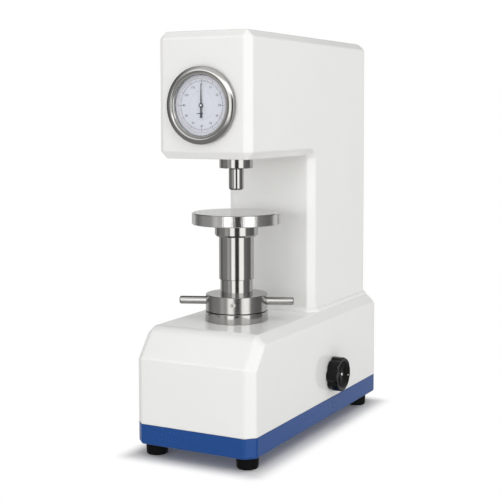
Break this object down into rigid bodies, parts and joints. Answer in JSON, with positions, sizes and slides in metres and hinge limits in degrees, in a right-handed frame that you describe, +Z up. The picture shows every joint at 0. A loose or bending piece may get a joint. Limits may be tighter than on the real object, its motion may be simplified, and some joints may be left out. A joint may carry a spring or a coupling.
{
  "type": "hardness tester",
  "caption": "Bench hardness tester: hollow base and column with overhanging head, screw-raised anvil under a spindle, lever and weights inside, dial in front.",
  "frame": {"origin": "where the vertical test axis through screw, anvil and spindle meets the bench", "axes": "+X to the operator's right, +Y back towards the column, +Z up along the test axis"},
  "size_m": [0.2452, 0.5116, 0.7],
  "materials": {
    "white_paint": "gloss",
    "blue_paint": "gloss",
    "rubber": "matt",
    "zinc_screws": "satin",
    "polished_steel": "polished",
    "machined_steel": "machined",
    "cast_iron": "as cast, painted",
    "brass": "machined",
    "grey_enamel": "satin",
    "black_plastic": "satin",
    "dial_case_black": "satin",
    "dial_white": "matt",
    "pointer_blue": "satin",
    "clear_glass": "polished",
    "circuit_board": "satin"
  },
  "bodies": {
    "frame": {"base_casting": "white_paint", "base_pan": "blue_paint", "rubber_feet": "rubber", "m8_bolts": "zinc_screws", "column_casting": "white_paint", "top_cover": "white_paint", "back_cover": "white_paint", "cover_screws": "zinc_screws", "screw_guide": "polished_steel", "guide_key": "machined_steel", "guide_bolts": "zinc_screws", "thrust_bearing": "machined_steel", "spindle_bush": "polished_steel", "bush_screws": "zinc_screws", "fulcrum_bracket": "cast_iron", "fulcrum_bearings": "machined_steel", "dashpot": "grey_enamel", "load_motor": "grey_enamel", "selector_bush": "brass", "selector_bearing": "cast_iron", "carrier_posts": "machined_steel", "dial_case": "dial_case_black", "dial_centre": "dial_white", "measuring_pivot": "machined_steel", "power_inlet": "black_plastic", "switch_frame": "black_plastic", "control_board": "circuit_board"},
    "capstan": {"capstan": "polished_steel", "thrust_race_upper": "machined_steel", "turning_rods": "polished_steel", "capstan_plugs": "zinc_screws", "lower_sleeve": "polished_steel"},
    "screw": {"elevating_screw": "machined_steel", "anvil_collar": "polished_steel", "upper_sleeve": "polished_steel"},
    "anvil": {"anvil": "polished_steel"},
    "spindle": {"main_spindle": "polished_steel", "spindle_seat": "machined_steel", "lift_pin": "machined_steel", "penetrator": "machined_steel", "penetrator_screw": "zinc_screws"},
    "lever": {"main_lever": "cast_iron", "lever_knives": "machined_steel", "lever_poise": "cast_iron"},
    "hanger": {"weight_hanger": "machined_steel", "weight_1": "machined_steel", "weight_2": "machined_steel", "weight_3": "machined_steel"},
    "load_cam": {"load_cam": "machined_steel"},
    "selector": {"selector_knob": "black_plastic", "selector_shaft": "machined_steel"},
    "carrier": {"weight_carrier": "machined_steel"},
    "bezel": {"bezel": "polished_steel", "crystal": "clear_glass", "dial_face": "dial_white"},
    "main_pointer": {"main_pointer": "pointer_blue"},
    "small_pointer": {"small_pointer": "pointer_blue"},
    "plunger": {"dial_plunger": "machined_steel"},
    "measuring_lever": {"measuring_lever": "brass"},
    "rocker": {"switch_rocker": "black_plastic"}
  },
  "joints": [
    {"name": "screw_lift", "type": "slide", "parent": "frame", "child": "screw", "axis": [0, 0, 1], "range_m": [-0.022, 0.036]},
    {"name": "capstan_turn", "type": "hinge", "parent": "frame", "child": "capstan", "pos_m": [0, 0, 0.2442], "axis": [0, 0, 1], "range_deg": [-2593, 1585]},
    {"name": "anvil_swivel", "type": "hinge", "parent": "screw", "child": "anvil", "pos_m": [0, 0, 0.3886], "axis": [0, 0, 1], "continuous": true},
    {"name": "lever_tilt", "type": "hinge", "parent": "frame", "child": "lever", "pos_m": [0, -0.0125, 0.585], "axis": [1, 0, 0], "range_deg": [0, 2.75]},
    {"name": "spindle_lift", "type": "slide", "parent": "frame", "child": "spindle", "axis": [0, 0, 1], "range_m": [0, 0.0006006]},
    {"name": "measuring_tilt", "type": "hinge", "parent": "frame", "child": "measuring_lever", "pos_m": [0.022, 0.021, 0.53005], "axis": [-1, 0, 0], "range_deg": [0, 1.64]},
    {"name": "plunger_lift", "type": "slide", "parent": "frame", "child": "plunger", "axis": [0, 0, 1], "range_m": [0, 0.003]},
    {"name": "main_pointer_turn", "type": "hinge", "parent": "frame", "child": "main_pointer", "pos_m": [0, -0.1085, 0.5794], "axis": [0, 1, 0], "range_deg": [0, 1080.5]},
    {"name": "small_pointer_turn", "type": "hinge", "parent": "frame", "child": "small_pointer", "pos_m": [0, -0.108, 0.5664], "axis": [0, -1, 0], "range_deg": [0, 108.1]},
    {"name": "hanger_fall", "type": "slide", "parent": "frame", "child": "hanger", "axis": [0, 0, 1], "range_m": [-0.003, 0]},
    {"name": "cam_turn", "type": "hinge", "parent": "frame", "child": "load_cam", "pos_m": [-0.034, 0.2375, 0.1186], "axis": [1, 0, 0], "range_deg": [0, 180.2]},
    {"name": "carrier_fall", "type": "slide", "parent": "frame", "child": "carrier", "axis": [0, 0, 1], "range_m": [-0.006, 0]},
    {"name": "selector_turn", "type": "hinge", "parent": "frame", "child": "selector", "pos_m": [0.112, 0.1548, 0.0982], "axis": [1, 0, 0], "range_deg": [0, 120.2]},
    {"name": "bezel_turn", "type": "hinge", "parent": "frame", "child": "bezel", "pos_m": [0, -0.116, 0.5794], "axis": [0, 1, 0], "continuous": true},
    {"name": "rocker_tip", "type": "hinge", "parent": "frame", "child": "rocker", "pos_m": [-0.012, 0.3535, 0.11], "axis": [1, 0, 0], "range_deg": [0, 14]}
  ],
  "couplings": [
    {"joint": "capstan_turn", "follows": "screw_lift", "rad_per_m": -1256.6},
    {"joint": "spindle_lift", "follows": "lever_tilt", "m_per_rad": 0.0125},
    {"joint": "measuring_tilt", "follows": "lever_tilt", "ratio": 0.59524},
    {"joint": "plunger_lift", "follows": "lever_tilt", "m_per_rad": 0.0625},
    {"joint": "main_pointer_turn", "follows": "lever_tilt", "ratio": 392.7},
    {"joint": "small_pointer_turn", "follows": "lever_tilt", "ratio": 39.27},
    {"joint": "cam_turn", "follows": "hanger_fall", "rad_per_m": -1047.2},
    {"joint": "selector_turn", "follows": "carrier_fall", "rad_per_m": -349.07}
  ]
}
